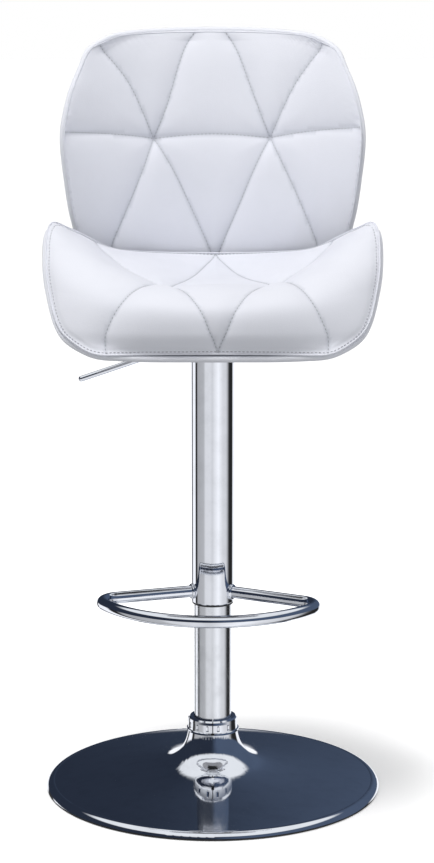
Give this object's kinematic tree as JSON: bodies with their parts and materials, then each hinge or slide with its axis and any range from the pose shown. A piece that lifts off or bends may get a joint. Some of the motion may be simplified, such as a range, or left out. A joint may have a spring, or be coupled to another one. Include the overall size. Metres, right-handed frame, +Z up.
{
  "type": "height-adjustable swivel stool",
  "caption": "Gas-lift swivel stool with a quilted bucket seat, matching low backrest, looped footrest, height lever and a round trumpet base.",
  "frame": {"origin": "on the floor, on the column's axis", "axes": "+Z up along the column, the sitter faces -Y, +X is to the right seen from the front"},
  "size_m": [0.45, 0.45, 1.005],
  "materials": {
    "chrome": "polished chrome plating",
    "satin_steel": "satin plated steel tube",
    "black_steel": "black powder coat",
    "black_plastic": "moulded black plastic",
    "black_rubber": "matt black rubber",
    "ground_steel": "ground bright steel",
    "zinc_steel": "zinc plated fasteners",
    "shell_wrap": "bent plywood wrapped in white faux leather",
    "pad_leather": "smooth white faux leather over foam"
  },
  "bodies": {
    "base": {"base_dish": "chrome", "base_socket": "black_steel", "base_ballast": "black_steel", "base_floor_ring": "black_rubber", "base_collar": "chrome", "column_tube": "satin_steel", "column_foot": "black_steel", "column_guide_bush": "black_plastic", "thrust_washer_lower": "ground_steel", "thrust_balls": "ground_steel"},
    "rod": {"piston_rod": "ground_steel", "rod_clip": "ground_steel", "thrust_washer_upper": "ground_steel", "bump_stop": "black_rubber", "piston_head": "ground_steel"},
    "carriage": {"gas_cylinder": "ground_steel", "cylinder_gland": "ground_steel", "cover_tube": "chrome", "cover_cap": "black_steel", "cover_bush": "black_plastic", "footrest_ring": "chrome", "footrest_welds": "chrome", "seat_plate": "black_steel", "plate_hub": "black_steel", "lever_ears": "black_steel", "lever_pin": "ground_steel", "seat_bolts": "zinc_steel", "seat_washers": "zinc_steel", "tee_nuts": "zinc_steel", "seat_shell": "shell_wrap", "back_shell": "shell_wrap", "seat_pad": "pad_leather", "back_pad": "pad_leather", "back_bracket_left": "black_steel", "back_bracket_right": "black_steel", "seat_screws": "zinc_steel", "back_screws": "zinc_steel"},
    "lever": {"lever_rod": "chrome"},
    "button": {"valve_button": "ground_steel"}
  },
  "joints": [
    {"name": "seat_swivel", "type": "hinge", "parent": "base", "child": "rod", "pos_m": [0, 0, 0.022], "axis": [0, 0, 1], "continuous": true},
    {"name": "seat_lift", "type": "slide", "parent": "rod", "child": "carriage", "axis": [0, 0, 1], "range_m": [-0.15, 0.06]},
    {"name": "lever_pivot", "type": "hinge", "parent": "carriage", "child": "lever", "pos_m": [-0.038, 0, 0.6032], "axis": [0, 1, 0], "range_deg": [0, 5]},
    {"name": "valve_press", "type": "slide", "parent": "carriage", "child": "button", "axis": [0, 0, -1], "range_m": [0, 0.0034], "stiffness_N_per_m": 1500}
  ],
  "couplings": [
    {"joint": "valve_press", "follows": "lever_pivot", "m_per_rad": 0.038}
  ]
}
